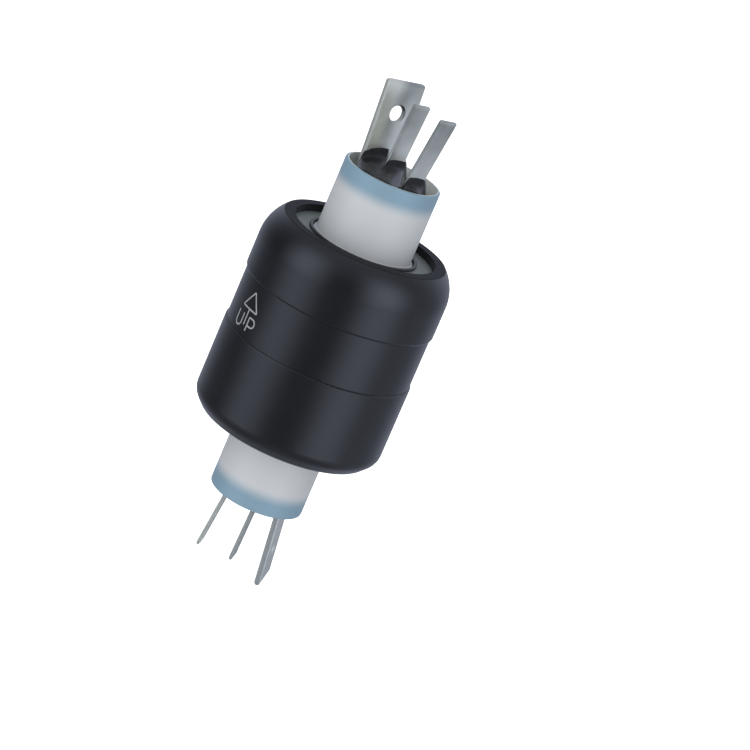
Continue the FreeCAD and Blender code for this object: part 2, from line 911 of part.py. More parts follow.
os.makedirs("parts", exist_ok=True)
for name, shape in build().items():
    shape.exportStep("parts/" + name + ".step")
    print(name, len(shape.Solids), round(shape.Volume, 2), shape.isValid())
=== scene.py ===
import json
import math

import bpy
from mathutils import Matrix, Vector


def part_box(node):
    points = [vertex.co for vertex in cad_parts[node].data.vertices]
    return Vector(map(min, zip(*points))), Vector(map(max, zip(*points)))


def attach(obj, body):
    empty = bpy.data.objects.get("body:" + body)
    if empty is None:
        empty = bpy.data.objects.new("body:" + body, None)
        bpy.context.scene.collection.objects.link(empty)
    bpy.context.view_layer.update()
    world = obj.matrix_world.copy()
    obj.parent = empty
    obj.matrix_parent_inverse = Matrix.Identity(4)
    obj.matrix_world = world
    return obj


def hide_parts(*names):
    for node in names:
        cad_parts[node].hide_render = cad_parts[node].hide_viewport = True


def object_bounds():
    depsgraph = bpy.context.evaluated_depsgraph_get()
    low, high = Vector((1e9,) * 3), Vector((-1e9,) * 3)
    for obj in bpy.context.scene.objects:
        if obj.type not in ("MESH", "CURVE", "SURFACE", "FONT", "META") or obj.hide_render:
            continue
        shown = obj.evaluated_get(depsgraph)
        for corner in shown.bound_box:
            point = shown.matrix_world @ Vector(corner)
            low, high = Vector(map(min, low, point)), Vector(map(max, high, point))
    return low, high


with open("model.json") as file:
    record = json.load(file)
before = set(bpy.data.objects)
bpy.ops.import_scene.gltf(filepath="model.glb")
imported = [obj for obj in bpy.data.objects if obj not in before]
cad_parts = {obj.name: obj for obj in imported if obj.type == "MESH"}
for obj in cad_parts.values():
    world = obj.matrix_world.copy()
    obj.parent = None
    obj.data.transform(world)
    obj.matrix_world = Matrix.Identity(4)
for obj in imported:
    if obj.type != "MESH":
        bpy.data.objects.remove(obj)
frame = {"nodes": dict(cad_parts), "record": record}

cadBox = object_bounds()
mm = 0.001
nodes = frame["nodes"]
print("frame loaded:", len(nodes), "nodes")


# Node helpers: a node by its type with its plain inputs set, and a link between two sockets
def addNode(tree, kind, inputs=None, **settings):
    node = tree.nodes.new(kind)
    for key, value in settings.items():
        setattr(node, key, value)
    for key, value in (inputs or {}).items():
        node.inputs[key].default_value = value
    return node


def link(tree, source, target):
    tree.links.new(source, target)


# An input takes either a plain number or what another socket gives
def feed(tree, source, target):
    if isinstance(source, (int, float)):
        target.default_value = source
    else:
        link(tree, source, target)


def mathNode(tree, operation, *terms, clamp=False):
    node = addNode(tree, "ShaderNodeMath", operation=operation, use_clamp=clamp)
    for index, term in enumerate(terms):
        feed(tree, term, node.inputs[index])
    return node.outputs[0]


def plus(tree, first, second):
    return mathNode(tree, "ADD", first, second)


def minus(tree, first, second):
    return mathNode(tree, "SUBTRACT", first, second)


def times(tree, first, second):
    return mathNode(tree, "MULTIPLY", first, second)


def above(tree, value, bound):
    return mathNode(tree, "GREATER_THAN", value, bound)


def mixValues(tree, mask, first, second):
    node = addNode(tree, "ShaderNodeMix", data_type="FLOAT")
    for key, source in (("Factor", mask), ("A", first), ("B", second)):
        feed(tree, source, node.inputs[key])
    return node.outputs["Result"]


# Runs from 0 to 1 while a value goes from one bound to the other
def evenFade(tree, value, zeroAt, oneAt, kind="LINEAR"):
    node = addNode(tree, "ShaderNodeMapRange", interpolation_type=kind)
    for key, source in (("Value", value), ("From Min", zeroAt), ("From Max", oneAt)):
        feed(tree, source, node.inputs[key])
    return node.outputs["Result"]


def softFade(tree, value, zeroAt, oneAt):
    return evenFade(tree, value, zeroAt, oneAt, "SMOOTHSTEP")


def flatVector(tree, x, y):
    node = addNode(tree, "ShaderNodeCombineXYZ")
    link(tree, x, node.inputs["X"])
    link(tree, y, node.inputs["Y"])
    return node.outputs[0]


def lengthOf(tree, vector):
    node = addNode(tree, "ShaderNodeVectorMath", operation="LENGTH")
    link(tree, vector, node.inputs[0])
    return node.outputs["Value"]


def axesOf(tree, vector):
    node = addNode(tree, "ShaderNodeSeparateXYZ")
    link(tree, vector, node.inputs[0])
    return node.outputs


def addSocket(tree, label, way, kind, value=None):
    socket = tree.interface.new_socket(label, in_out=way, socket_type="NodeSocket" + kind)
    if value is not None:
        socket.default_value = value


# A group of nodes that takes and gives plain numbers
def newGroup(name, inputs, outputs, kind="ShaderNodeTree"):
    tree = bpy.data.node_groups.new(name, kind)
    for label, value in inputs.items():
        addSocket(tree, label, "INPUT", "Float", value)
    for label in outputs:
        addSocket(tree, label, "OUTPUT", "Float")
    return tree, addNode(tree, "NodeGroupInput"), addNode(tree, "NodeGroupOutput")


def newObject(name, data):
    thing = bpy.data.objects.new(name, data)
    bpy.context.scene.collection.objects.link(thing)
    return thing


# Fine mottled grain of moulded plastic: a mask from 0 to 1 and a height for bump
def makeMouldGrain():
    tree, start, end = newGroup(
        "mouldGrain", {"Cells per metre": 4000.0, "Cloud per metre": 250.0}, ["Mask", "Height"])
    place = addNode(tree, "ShaderNodeTexCoord")
    grain = addNode(tree, "ShaderNodeTexNoise", {"Detail": 3.0, "Roughness": 0.6})
    cloud = addNode(tree, "ShaderNodeTexNoise", {"Detail": 2.0, "Roughness": 0.5})
    for texture, label in ((grain, "Cells per metre"), (cloud, "Cloud per metre")):
        link(tree, place.outputs["Object"], texture.inputs["Vector"])
        link(tree, start.outputs[label], texture.inputs["Scale"])
    link(tree, cloud.outputs["Fac"], end.inputs["Mask"])
    link(tree, grain.outputs["Fac"], end.inputs["Height"])
    return tree


# Thin scratches along one direction: noise drawn out along Z
def makeDrawnLines():
    tree, start, end = newGroup("drawnLines", {"Lines per metre": 9000.0, "Stretch": 0.02}, ["Mask"])
    place = addNode(tree, "ShaderNodeTexCoord")
    squeeze = addNode(tree, "ShaderNodeCombineXYZ", {"X": 1.0, "Y": 1.0})
    scaled = addNode(tree, "ShaderNodeVectorMath", operation="MULTIPLY")
    lines = addNode(tree, "ShaderNodeTexNoise", {"Detail": 2.0, "Roughness": 0.5})
    link(tree, start.outputs["Stretch"], squeeze.inputs["Z"])
    link(tree, place.outputs["Object"], scaled.inputs[0])
    link(tree, squeeze.outputs[0], scaled.inputs[1])
    link(tree, scaled.outputs[0], lines.inputs["Vector"])
    link(tree, start.outputs["Lines per metre"], lines.inputs["Scale"])
    link(tree, lines.outputs["Fac"], end.inputs["Mask"])
    return tree


mouldGrain = makeMouldGrain()
drawnLines = makeDrawnLines()


def newMaterial(name, inputs=None):
    material = bpy.data.materials.new(name)
    material.use_nodes = True
    tree = material.node_tree
    shader = tree.nodes["Principled BSDF"]
    for key, value in (inputs or {}).items():
        shader.inputs[key].default_value = value
    return material, tree, shader


def placeGroup(tree, group, inputs):
    return addNode(tree, "ShaderNodeGroup", inputs, node_tree=group)


def objectAxes(tree):
    return axesOf(tree, addNode(tree, "ShaderNodeTexCoord").outputs["Object"])


# Mixes two colours by a mask; each is plain or comes from another mix
def tint(tree, mask, first, second):
    node = addNode(tree, "ShaderNodeMix", data_type="RGBA")
    link(tree, mask, node.inputs["Factor"])
    for key, colour in (("A", first), ("B", second)):
        if isinstance(colour, tuple):
            node.inputs[key].default_value = (*colour, 1)
        else:
            link(tree, colour, node.inputs[key])
    return node.outputs["Result"]


def bumpFrom(tree, height, strength, distance, under=None):
    node = addNode(tree, "ShaderNodeBump", {"Strength": strength, "Distance": distance})
    link(tree, height, node.inputs["Height"])
    if under is not None:
        link(tree, under, node.inputs["Normal"])
    return node.outputs["Normal"]


def grainRough(tree, grain, finish):
    return mixValues(tree, grain.outputs["Mask"], finish["roughLow"], finish["roughHigh"])


def grainBump(tree, grain, finish):
    return bumpFrom(tree, grain.outputs["Height"], finish["grainStrength"], finish["grainDepth"])


blackShell = {
    "dark": (0.0045, 0.0046, 0.0055), "light": (0.0075, 0.0075, 0.009),
    "roughLow": 0.27, "roughHigh": 0.33, "sideShine": 0.5,
    "grainPerMetre": 5200.0, "grainStrength": 0.15, "grainDepth": 0.000008,
    "topMm": 0.06, "topColour": (0.006, 0.006, 0.007), "topRough": 0.6, "topShine": 0.15,
}
# Below its top the plate gets a pale grey base colour: a painted sheen that stands in for a reflection
# of the room; its top stays dark
plateFinishPaintedSheen = {
    "dark": (0.1, 0.112, 0.106), "light": (0.13, 0.144, 0.137),
    "roughLow": 0.42, "roughHigh": 0.5, "sideShine": 0.5,
    "grainPerMetre": 5200.0, "grainStrength": 0.15, "grainDepth": 0.000008,
    "topMm": 0.3, "topColour": (0.014, 0.015, 0.016), "topRough": 0.4, "topShine": 0.4,
}


# Moulded plastic, with another shine and tone on what lies just below topZ
def makeBlackPlastic(name, finish, topZ):
    material, tree, shader = newMaterial(name)
    grain = placeGroup(tree, mouldGrain, {"Cells per metre": finish["grainPerMetre"]})
    onTop = above(tree, objectAxes(tree)["Z"], topZ - finish["topMm"] * mm)
    side = tint(tree, grain.outputs["Mask"], finish["dark"], finish["light"])
    link(tree, tint(tree, onTop, side, finish["topColour"]), shader.inputs["Base Color"])
    shine = mixValues(tree, onTop, finish["sideShine"], finish["topShine"])
    link(tree, shine, shader.inputs["Specular IOR Level"])
    rough = mixValues(tree, onTop, grainRough(tree, grain, finish), finish["topRough"])
    link(tree, rough, shader.inputs["Roughness"])
    link(tree, grainBump(tree, grain, finish), shader.inputs["Normal"])
    return material


whiteStem = {
    "upperRMm": 6.5, "lowerRMm": 6.36, "wallMm": 0.3, "bandMm": 1.5, "fadeMm": 2.1,
    # The inside colour is painted light: paler than the outside to offset the shade in the bore
    "middle": (0.545, 0.568, 0.598), "ends": (0.205, 0.325, 0.42), "inside": (0.8, 0.85, 0.82),
    "roughLow": 0.38, "roughHigh": 0.46, "shine": 0.5,
    "grainPerMetre": 3500.0, "grainStrength": 0.1, "grainDepth": 0.000008,
}


# Milky plastic whose outside cools towards its open end, while the wall inside is painted paler,
# painted light against the shade in the bore
def makeWhitePlastic(name, endZ, inward, outerMm):
    finish = whiteStem
    material, tree, shader = newMaterial(name, {"Specular IOR Level": finish["shine"]})
    grain = placeGroup(tree, mouldGrain, {"Cells per metre": finish["grainPerMetre"]})
    axes = objectAxes(tree)
    fadeStart = endZ + inward * finish["bandMm"] * mm
    depth = softFade(tree, axes["Z"], fadeStart, fadeStart + inward * finish["fadeMm"] * mm)
    reach = lengthOf(tree, flatVector(tree, axes["X"], axes["Y"]))
    # Inside the wall the colour is paler than outside: painted light against the shade in the bore
    isOutside = above(tree, reach, (outerMm - finish["wallMm"]) * mm)
    outside = tint(tree, depth, finish["ends"], finish["middle"])
    link(tree, tint(tree, isOutside, finish["inside"], outside), shader.inputs["Base Color"])
    link(tree, grainRough(tree, grain, finish), shader.inputs["Roughness"])
    link(tree, grainBump(tree, grain, finish), shader.inputs["Normal"])
    return material


# Tin plate on the flat terminals: soft cut edges, faint scratches, a random cloud of tone and painted
# light.
# Above and below the middle height it carries a painted sheen, bright up to one distance and dull from
# a farther one on, and a painted light from the left makes it bright again towards -X.
tinned = {
    "upper": {"name": "tinPlateUpper", "bright": (0.9, 0.9, 0.79), "dull": (0.37, 0.38, 0.335),
              "roughLow": 0.30, "roughHigh": 0.42},
    # The lower terminals' tin is a darker copy of the upper tin: painted shade
    "lower": {"name": "tinPlateLowerPaintedShade", "bright": (0.66, 0.67, 0.59), "dull": (0.56, 0.57, 0.5),
              "roughLow": 0.44, "roughHigh": 0.56},
    # The height and side settings below place the terminals' painted sheen and the painted light from
    # the left
    "middleMm": 14.4, "paintedSheenFullMm": 24.0, "paintedSheenGoneMm": 32.0,
    "paintedLeftLightStartMm": -2.6, "paintedLeftLightFullMm": -3.7, "paintedLeftLightShare": 0.9, "paintedLeftLightMetal": 0.83,
    "cloudPerMetre": 210.0, "cloudLow": 0.35, "cloudHigh": 0.65, "cloudShare": 0.35,
    "linesPerMetre": 7000.0, "lineStretch": 0.03, "lineStrength": 0.2, "lineDepth": 0.000003,
    "edgeMm": 0.1, "edgeSamples": 8,
}


def makeTinPlate(end):
    finish = tinned[end]
    material, tree, shader = newMaterial(finish["name"], {"Metallic": 1.0})
    grain = placeGroup(tree, mouldGrain, {"Cloud per metre": tinned["cloudPerMetre"]})
    lines = placeGroup(tree, drawnLines, {
        "Lines per metre": tinned["linesPerMetre"], "Stretch": tinned["lineStretch"]})
    axes = objectAxes(tree)
    away = mathNode(tree, "ABSOLUTE", minus(tree, axes["Z"], tinned["middleMm"] * mm))
    # Painted sheen by height and painted light from the left (-X), which also lowers the metallic;
    # with a random cloud they make the colour mask
    paintedSheenByHeight = evenFade(tree, away, tinned["paintedSheenGoneMm"] * mm, tinned["paintedSheenFullMm"] * mm)
    paintedLightFromLeft = evenFade(tree, axes["X"], tinned["paintedLeftLightStartMm"] * mm, tinned["paintedLeftLightFullMm"] * mm)
    tone = mathNode(tree, "MAXIMUM", paintedSheenByHeight, times(tree, paintedLightFromLeft, tinned["paintedLeftLightShare"]))
    cloud = evenFade(tree, grain.outputs["Mask"], tinned["cloudLow"], tinned["cloudHigh"])
    mask = mixValues(tree, tinned["cloudShare"], tone, cloud)
    link(tree, tint(tree, mask, finish["dull"], finish["bright"]), shader.inputs["Base Color"])
    rough = mixValues(tree, mask, finish["roughHigh"], finish["roughLow"])
    link(tree, rough, shader.inputs["Roughness"])
    link(tree, mixValues(tree, paintedLightFromLeft, 1.0, tinned["paintedLeftLightMetal"]), shader.inputs["Metallic"])
    edge = addNode(tree, "ShaderNodeBevel", {"Radius": tinned["edgeMm"] * mm},
                   samples=tinned["edgeSamples"])
    bump = bumpFrom(tree, lines.outputs["Mask"], tinned["lineStrength"], tinned["lineDepth"],
                    edge.outputs["Normal"])
    link(tree, bump, shader.inputs["Normal"])
    return material


compound = {
    "dark": (0.008, 0.008, 0.008), "light": (0.014, 0.014, 0.014),
    "roughLow": 0.22, "roughHigh": 0.34, "shine": 0.3, "cloudPerMetre": 420.0,
    "grainPerMetre": 900.0, "grainStrength": 0.4, "grainDepth": 0.00003,
}


def makePotting():
    material, tree, shader = newMaterial("pottingCompound", {"Specular IOR Level": compound["shine"]})
    grain = placeGroup(tree, mouldGrain, {
        "Cells per metre": compound["grainPerMetre"], "Cloud per metre": compound["cloudPerMetre"]})
    colour = tint(tree, grain.outputs["Mask"], compound["dark"], compound["light"])
    link(tree, colour, shader.inputs["Base Color"])
    link(tree, grainRough(tree, grain, compound), shader.inputs["Roughness"])
    link(tree, grainBump(tree, grain, compound), shader.inputs["Normal"])
    return material


# Metals inside the housing, by slot
metalLines = {"stretch": 0.03, "strength": 0.3}
metals = {
    "bearing_steel": {
        "name": "bearingSteel", "bright": (0.6, 0.61, 0.62), "dull": (0.5, 0.51, 0.52),
        "roughLow": 0.2, "roughHigh": 0.32, "linesPerMetre": 9000.0, "lineDepth": 0.000004},
    "ball_steel": {
        "name": "ballSteel", "bright": (0.72, 0.73, 0.75), "dull": (0.68, 0.69, 0.71),
        "roughLow": 0.05, "roughHigh": 0.1, "linesPerMetre": 3000.0, "lineDepth": 0.000001},
    "shield_steel": {
        "name": "shieldSteel", "bright": (0.62, 0.63, 0.64), "dull": (0.5, 0.51, 0.52),
        "roughLow": 0.3, "roughHigh": 0.42, "linesPerMetre": 6000.0, "lineDepth": 0.000005},
    "spring_steel": {
        "name": "springSteel", "bright": (0.2, 0.2, 0.21), "dull": (0.13, 0.13, 0.14),
        "roughLow": 0.32, "roughHigh": 0.45, "linesPerMetre": 6000.0, "lineDepth": 0.000005},
    "bush_brass": {
        "name": "bushBrass", "bright": (0.78, 0.6, 0.3), "dull": (0.66, 0.5, 0.24),
        "roughLow": 0.25, "roughHigh": 0.38, "linesPerMetre": 8000.0, "lineDepth": 0.000004},
    "contact_metal": {
        "name": "contactMetal", "bright": (0.68, 0.65, 0.6), "dull": (0.58, 0.55, 0.5),
        "roughLow": 0.2, "roughHigh": 0.34, "linesPerMetre": 7000.0, "lineDepth": 0.000004},
    "liquid_metal": {
        "name": "liquidPool", "bright": (0.82, 0.83, 0.85), "dull": (0.78, 0.79, 0.81),
        "roughLow": 0.02, "roughHigh": 0.06, "linesPerMetre": 300.0, "lineDepth": 0.000002},
    "lead_copper": {
        "name": "leadCopper", "bright": (0.78, 0.42, 0.26), "dull": (0.64, 0.33, 0.2),
        "roughLow": 0.25, "roughHigh": 0.38, "linesPerMetre": 7000.0, "lineDepth": 0.000004},
}


def makeMetal(finish):
    material, tree, shader = newMaterial(finish["name"], {"Metallic": 1.0})
    lines = placeGroup(tree, drawnLines, {
        "Lines per metre": finish["linesPerMetre"], "Stretch": metalLines["stretch"]})
    mask = lines.outputs["Mask"]
    link(tree, tint(tree, mask, finish["dull"], finish["bright"]), shader.inputs["Base Color"])
    rough = mixValues(tree, mask, finish["roughHigh"], finish["roughLow"])
    link(tree, rough, shader.inputs["Roughness"])
    bump = bumpFrom(tree, mask, metalLines["strength"], finish["lineDepth"])
    link(tree, bump, shader.inputs["Normal"])
    return material


# Plastics and rubber inside the housing, by slot: one colour family each, with the same grain
innerGrain = {"paler": 1.25, "grainStrength": 0.1, "grainDepth": 0.00001}
innerPlastics = {
    "cage_plastic": {
        "name": "cagePlastic", "colour": (0.6, 0.52, 0.34),
        "roughLow": 0.39, "roughHigh": 0.51, "grainPerMetre": 5000.0},
    "seal_rubber": {
        "name": "sealRubber", "colour": (0.02, 0.02, 0.021),
        "roughLow": 0.54, "roughHigh": 0.66, "grainPerMetre": 6000.0},
    "core_plastic": {
        "name": "corePlastic", "colour": (0.62, 0.6, 0.52),
        "roughLow": 0.36, "roughHigh": 0.48, "grainPerMetre": 5000.0},
    "insulator_plastic": {
        "name": "insulatorPlastic", "colour": (0.48, 0.45, 0.36),
        "roughLow": 0.39, "roughHigh": 0.51, "grainPerMetre": 5000.0},
}


def makeInnerPlastic(finish):
    material, tree, shader = newMaterial(finish["name"])
    grain = placeGroup(tree, mouldGrain, {"Cells per metre": finish["grainPerMetre"]})
    paler = tuple(min(1.0, innerGrain["paler"] * channel) for channel in finish["colour"])
    colour = tint(tree, grain.outputs["Mask"], finish["colour"], paler)
    link(tree, colour, shader.inputs["Base Color"])
    link(tree, grainRough(tree, grain, finish), shader.inputs["Roughness"])
    link(tree, grainBump(tree, grain, innerGrain), shader.inputs["Normal"])
    return material


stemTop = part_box("upper_stem")[1].z
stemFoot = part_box("lower_stem")[0].z
finishes = {
    "black_housing": makeBlackPlastic("blackPlastic", blackShell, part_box("upper_cap")[1].z),
    "plate": makeBlackPlastic("platePaintedSheen", plateFinishPaintedSheen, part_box("cover_plate")[1].z),
    "upperStem": makeWhitePlastic("whiteStemUpper", stemTop, -1, whiteStem["upperRMm"]),
    "lowerStem": makeWhitePlastic("whiteStemLower", stemFoot, 1, whiteStem["lowerRMm"]),
    "upperTin": makeTinPlate("upper"),
    "lowerTin": makeTinPlate("lower"),
    "potting": makePotting(),
}
for slot, finish in metals.items():
    finishes[slot] = makeMetal(finish)
for slot, finish in innerPlastics.items():
    finishes[slot] = makeInnerPlastic(finish)


# The stems and the terminals of one slot differ by end, the lower tin with darker colours as painted
# shade, and the plate differs from the shells by a painted sheen
def finishOf(name, slot):
    end = "upper" if name.startswith("upper") else "lower"
    if slot == "white_stem":
        return finishes[end + "Stem"]
    if slot == "tinned_terminal":
        return finishes[end + "Tin"]
    return finishes["plate" if name == "cover_plate" else slot]


slotOf = {part["node"]: part["material_slot"] for part in frame["record"]["subparts"]}
for name, node in nodes.items():
    node.data.materials.clear()
    node.data.materials.append(finishOf(name, slotOf[name]))
print("materials set:", len(finishes))


# Geometry nodes: a tree with one named input for each of the piece's values
def newTree(name, values):
    kinds = {int: "Int", float: "Float", bpy.types.Material: "Material"}
    tree = bpy.data.node_groups.new(name, "GeometryNodeTree")
    addSocket(tree, "Geometry", "INPUT", "Geometry")
    for label, value in values.items():
        addSocket(tree, label, "INPUT", kinds[type(value)], value)
    addSocket(tree, "Geometry", "OUTPUT", "Geometry")
    return tree, addNode(tree, "NodeGroupInput"), addNode(tree, "NodeGroupOutput")


def pointAxes(tree):
    return axesOf(tree, addNode(tree, "GeometryNodeInputPosition").outputs[0])


# Puts the points of a mesh at places given in millimetres
def movePoints(tree, geometry, x, y, z):
    point = addNode(tree, "ShaderNodeCombineXYZ")
    for axis, value in zip("XYZ", (x, y, z)):
        link(tree, value, point.inputs[axis])
    metres = addNode(tree, "ShaderNodeVectorMath", {"Scale": mm}, operation="SCALE")
    link(tree, point.outputs[0], metres.inputs[0])
    moved = addNode(tree, "GeometryNodeSetPosition")
    link(tree, geometry, moved.inputs["Geometry"])
    link(tree, metres.outputs[0], moved.inputs["Position"])
    return moved.outputs["Geometry"]


def finishTree(tree, geometry, start, end):
    real = addNode(tree, "GeometryNodeRealizeInstances")
    painted = addNode(tree, "GeometryNodeSetMaterial")
    link(tree, geometry, real.inputs["Geometry"])
    link(tree, real.outputs["Geometry"], painted.inputs["Geometry"])
    link(tree, start.outputs["Material"], painted.inputs["Material"])
    link(tree, painted.outputs["Geometry"], end.inputs["Geometry"])


# Runs the tree on a mesh, its inputs set by identifier, and leaves the result as a plain mesh
def grown(name, mesh, tree, values):
    seed = newObject(name + "Seed", mesh)
    modifier = seed.modifiers.new(name, "NODES")
    modifier.node_group = tree
    for item in tree.interface.items_tree:
        if item.in_out == "INPUT" and item.name in values:
            modifier[item.identifier] = values[item.name]
    bpy.context.view_layer.update()
    evaluated = seed.evaluated_get(bpy.context.evaluated_depsgraph_get())
    result = bpy.data.meshes.new_from_object(evaluated)
    seed.modifiers.remove(modifier)
    bpy.data.objects.remove(seed)
    return newObject(name, result)


# Compound in the upper stem: three tongues creep up the camera side of the terminals and run down
# to the rim in front. Lengths are millimetres. Left, right and peakAt run along X from the blade's
# middle. Face, ahead, behind and steepReach are X less Y, 1.41 times the way square to the blade.
pottingShape = {
    "aroundCount": 200, "ringCount": 64, "levelBelowRim": 2.3, "wallRise": 0.25, "wallReach": 0.6,
    "boreR": 5.2, "mouthDepth": 3.0, "wallGap": 0.02, "join": 0.3, "behind": 1.1, "behindSoft": 0.3,
    "steepShare": 0.26, "steepReach": 0.4, "rippleMm": 0.16, "rippleScale": 0.5, "rippleSeed": 3.0,
    "tongues": (
        {"blade": "upper_terminal_wide", "crest": 2.03, "peakAt": 0.45, "bend": 0.15, "face": 0.57,
         "left": -1.9, "leftSoft": 0.35, "leftSpread": 0.0,
         "right": 0.75, "rightSoft": 0.9, "rightPower": 1.0, "rightSpread": 0.25, "ahead": 34.0},
        {"blade": "upper_terminal_narrow_1", "crest": 1.9, "peakAt": 0.4, "bend": 0.24, "face": 0.35,
         "left": -0.85, "leftSoft": 0.7, "leftSpread": 0.3,
         "right": 0.95, "rightSoft": 2.1, "rightPower": 1.1, "rightSpread": 0.1, "ahead": 32.0},
        {"blade": "upper_terminal_narrow_2", "crest": 1.6, "peakAt": 0.2, "bend": 0.22, "face": 0.35,
         "left": -0.8, "leftSoft": 0.6, "leftSpread": 0.0,
         "right": 0.85, "rightSoft": 2.3, "rightPower": 1.4, "rightSpread": 0.0, "ahead": 20.0},
    ),
}

# The tongue's own inputs, with the value above that sets each
tongueInputs = {
    "Peak at": "peakAt", "Bend": "bend", "Face": "face", "Ahead": "ahead",
    "Left": "left", "Left soft": "leftSoft", "Left spread": "leftSpread",
    "Right": "right", "Right soft": "rightSoft", "Right power": "rightPower",
    "Right spread": "rightSpread",
}


# Middle of a blade at a height: its foot stands upright up to the mouth's floor, and leans from there
def bladeMiddle(name, bendZ, height):
    points = [vertex.co for vertex in nodes[name].data.vertices]
    low = min(point.z for point in points)
    high = max(point.z for point in points)
    sameLevel = 0.01 * mm
    ends = []
    for level in (low, high):
        near = [point for point in points if abs(point.z - level) < sameLevel]
        ends.append(sum(near, Vector()) / len(near))
    bend = Vector((ends[0].x, ends[0].y, bendZ))
    return bend.lerp(ends[1], (height - bendZ) / (ends[1].z - bendZ))


# Height above the level of one tongue: a crest that bends down to both sides along the blade, with
# soft ends, and that falls away in front of it, steeply at first. The blades stand at 45 degrees.
def makeTongue():
    labels = ["X", "Y", "Middle X", "Middle Y", "Rise", "Behind", "Behind soft",
              "Steep share", "Steep reach", *tongueInputs]
    tree, start, end = newGroup("tongue", dict.fromkeys(labels, 0.0), ["Height"], "GeometryNodeTree")
    given = start.outputs
    side = minus(tree, given["X"], given["Middle X"])
    ahead = minus(tree, side, minus(tree, given["Y"], given["Middle Y"]))
    inFront = mathNode(tree, "MAXIMUM", minus(tree, ahead, given["Face"]), 0.0)
    left = minus(tree, given["Left"], times(tree, inFront, given["Left spread"]))
    right = plus(tree, given["Right"], times(tree, inFront, given["Right spread"]))
    leftSide = softFade(tree, side, minus(tree, left, given["Left soft"]), left)
    rightFade = softFade(tree, side, plus(tree, right, given["Right soft"]), right)
    rightSide = mathNode(tree, "POWER", rightFade, given["Right power"])
    back = times(tree, given["Behind"], -1.0)
    behind = softFade(tree, ahead, back, times(tree, back, given["Behind soft"]))
    inReaches = mathNode(tree, "DIVIDE", inFront, given["Steep reach"])
    steep = mathNode(tree, "EXPONENT", times(tree, inReaches, -1.0))
    way = mathNode(tree, "DIVIDE", inFront, given["Ahead"])
    gentle = mathNode(tree, "SUBTRACT", 1.0, way, clamp=True)
    falling = mixValues(tree, given["Steep share"], gentle, steep)
    away = mathNode(tree, "ABSOLUTE", minus(tree, side, given["Peak at"]))
    sunk = times(tree, mathNode(tree, "POWER", away, 2.0), given["Bend"])
    crest = minus(tree, given["Rise"], sunk)
    shape = times(tree, times(tree, leftSide, rightSide), times(tree, behind, falling))
    link(tree, times(tree, crest, shape), end.inputs["Height"])
    return tree


def placeTongue(tree, tongue, settings, across):
    shape = pottingShape
    mouthFloor = stemTop - shape["mouthDepth"] * mm
    middle = bladeMiddle(settings["blade"], mouthFloor, stemTop + settings["crest"] * mm)
    inputs = {label: settings[key] for label, key in tongueInputs.items()}
    inputs.update({
        "Middle X": middle.x / mm, "Middle Y": middle.y / mm,
        "Rise": settings["crest"] + shape["levelBelowRim"],
        "Behind": shape["behind"], "Behind soft": shape["behindSoft"],
        "Steep share": shape["steepShare"], "Steep reach": shape["steepReach"],
    })
    node = addNode(tree, "GeometryNodeGroup", inputs, node_tree=tongue)
    link(tree, across[0], node.inputs["X"])
    link(tree, across[1], node.inputs["Y"])
    return node.outputs["Height"]


# A closed can with four rows of points: floor, bore's top, mouth's foot and the free surface
def makePottingTree(values, tongue):
    tree, start, end = newTree("pottingFill", values)
    given = start.outputs
    spans = 3
    can = addNode(tree, "GeometryNodeMeshCylinder",
                  {"Radius": 1.0, "Depth": spans, "Side Segments": spans}, fill_type="TRIANGLE_FAN")
    link(tree, given["Around"], can.inputs["Vertices"])
    link(tree, given["Rings"], can.inputs["Fill Segments"])
    axes = pointAxes(tree)
    row = plus(tree, axes["Z"], spans / 2)
    isAboveFloor, isInMouth, isTop = (above(tree, row, edge) for edge in (0.5, 1.5, 2.5))
    radius = mixValues(tree, isInMouth, given["Bore radius"], given["Mouth radius"])
    across = [times(tree, axes[axis], radius) for axis in ("X", "Y")]
    rises = [placeTongue(tree, tongue, settings, across) for settings in pottingShape["tongues"]]
    swell = rises[0]
    for rise in rises[1:]:
        swell = mathNode(tree, "SMOOTH_MAX", swell, rise, pottingShape["join"])
    flat = flatVector(tree, *across)
    wallStart = minus(tree, given["Mouth radius"], given["Wall reach"])
    nearWall = softFade(tree, lengthOf(tree, flat), wallStart, given["Mouth radius"])
    creep = times(tree, nearWall, given["Wall rise"])
    noise = addNode(tree, "ShaderNodeTexNoise", {"Detail": 1.0}, noise_dimensions="4D")
    link(tree, flat, noise.inputs["Vector"])
    link(tree, given["Seed"], noise.inputs["W"])
    link(tree, given["Ripple scale"], noise.inputs["Scale"])
    ripple = times(tree, minus(tree, noise.outputs["Fac"], 0.5), given["Ripple"])
    surface = plus(tree, mathNode(tree, "MAXIMUM", swell, creep), given["Level"])
    sideZ = mixValues(tree, isAboveFloor, given["Floor"], given["Step"])
    height = mixValues(tree, isTop, sideZ, plus(tree, surface, ripple))
    smooth = addNode(tree, "GeometryNodeSetShadeSmooth")
    link(tree, movePoints(tree, can.outputs["Mesh"], *across, height), smooth.inputs[0])
    finishTree(tree, smooth.outputs[0], start, end)
    return tree


def makePottingPiece():
    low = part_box("upper_potting")[0]
    shape = pottingShape
    values = {
        "Around": shape["aroundCount"], "Rings": shape["ringCount"],
        "Bore radius": shape["boreR"] - shape["wallGap"],
        "Mouth radius": -low.x / mm - shape["wallGap"],
        "Floor": low.z / mm, "Step": stemTop / mm - shape["mouthDepth"],
        "Level": stemTop / mm - shape["levelBelowRim"],
        "Wall rise": shape["wallRise"], "Wall reach": shape["wallReach"],
        "Ripple": shape["rippleMm"], "Ripple scale": shape["rippleScale"],
        "Seed": shape["rippleSeed"], "Material": finishes["potting"],
    }
    tree = makePottingTree(values, makeTongue())
    fill = grown("pottingFill", bpy.data.meshes.new("pottingSeed"), tree, values)
    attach(fill, "rotor")
    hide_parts("upper_potting")


